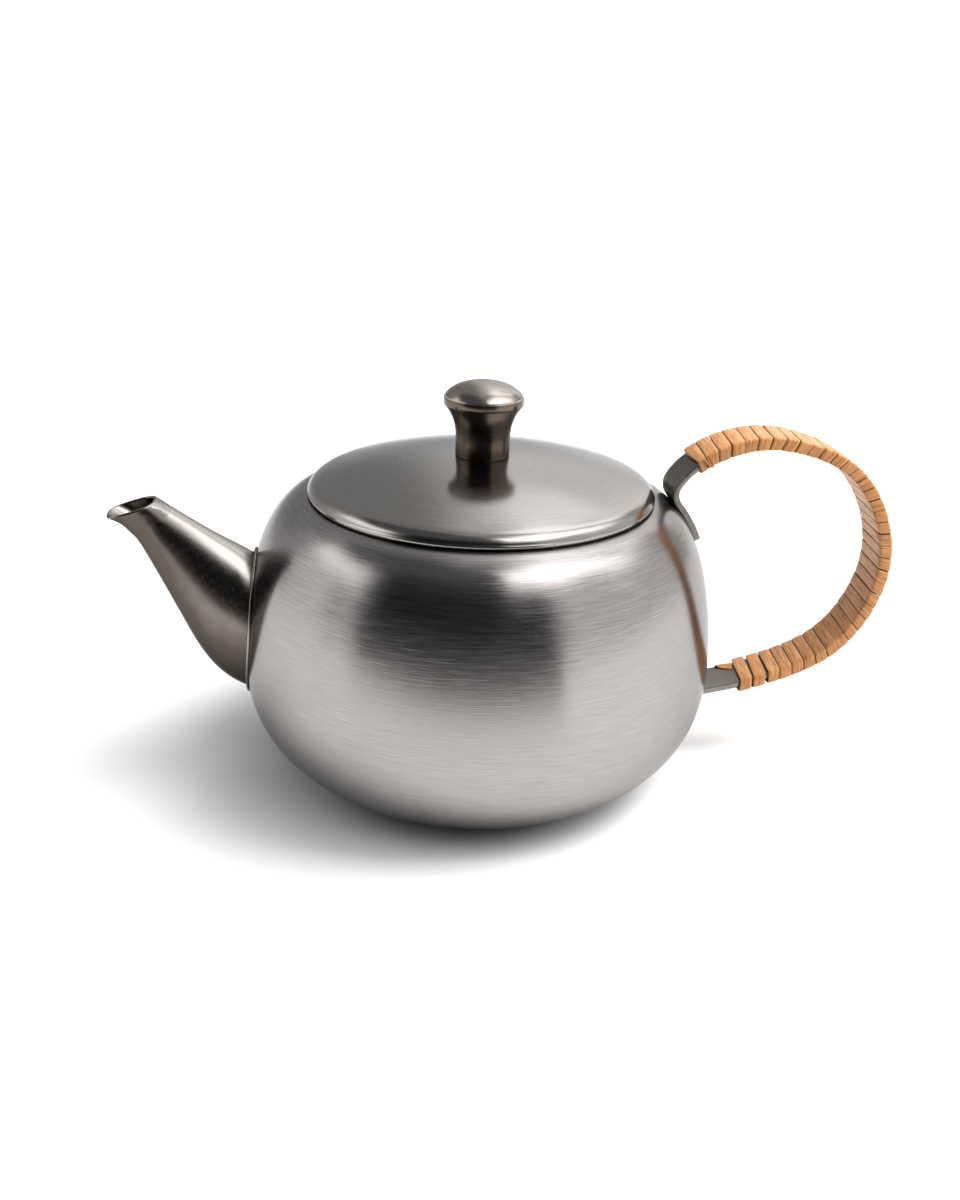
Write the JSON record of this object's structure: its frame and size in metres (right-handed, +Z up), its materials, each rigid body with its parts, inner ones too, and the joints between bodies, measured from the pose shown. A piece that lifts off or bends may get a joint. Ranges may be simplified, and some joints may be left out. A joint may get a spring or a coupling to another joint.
{
  "type": "teapot",
  "caption": "Round-bellied brushed steel teapot with a domed lift-off lid and turned knob, a tapering spout and a cane-bound strap handle.",
  "frame": {"origin": "centre of the flat base, on the surface the pot stands on", "axes": "+Z up, +X towards the handle, -X towards the spout, the XZ plane is the plane of symmetry"},
  "size_m": [0.2328, 0.14, 0.1186],
  "materials": {
    "brushed_steel": "fine brushing round the pot, satin",
    "satin_steel": "satin, darker, slightly bronze in tone",
    "strap_steel": "dull grey mill finish",
    "plain_steel": "plain satin",
    "cane": "split rattan cane, honey brown, semi-matt"
  },
  "bodies": {
    "pot": {"body_shell": "brushed_steel", "spout_tube": "satin_steel", "spout_root_collar": "satin_steel", "handle_strap": "strap_steel", "handle_foot_fillet": "strap_steel", "cane_wrap": "cane", "cane_tail": "cane"},
    "lid": {"lid_dome": "brushed_steel", "lid_locating_ring": "plain_steel", "knob": "satin_steel", "knob_washer": "plain_steel", "knob_screw": "plain_steel"}
  },
  "joints": [
    {"name": "lid_lift", "type": "slide", "parent": "pot", "child": "lid", "axis": [0, 0, 1], "range_m": [0, 0.08]}
  ]
}
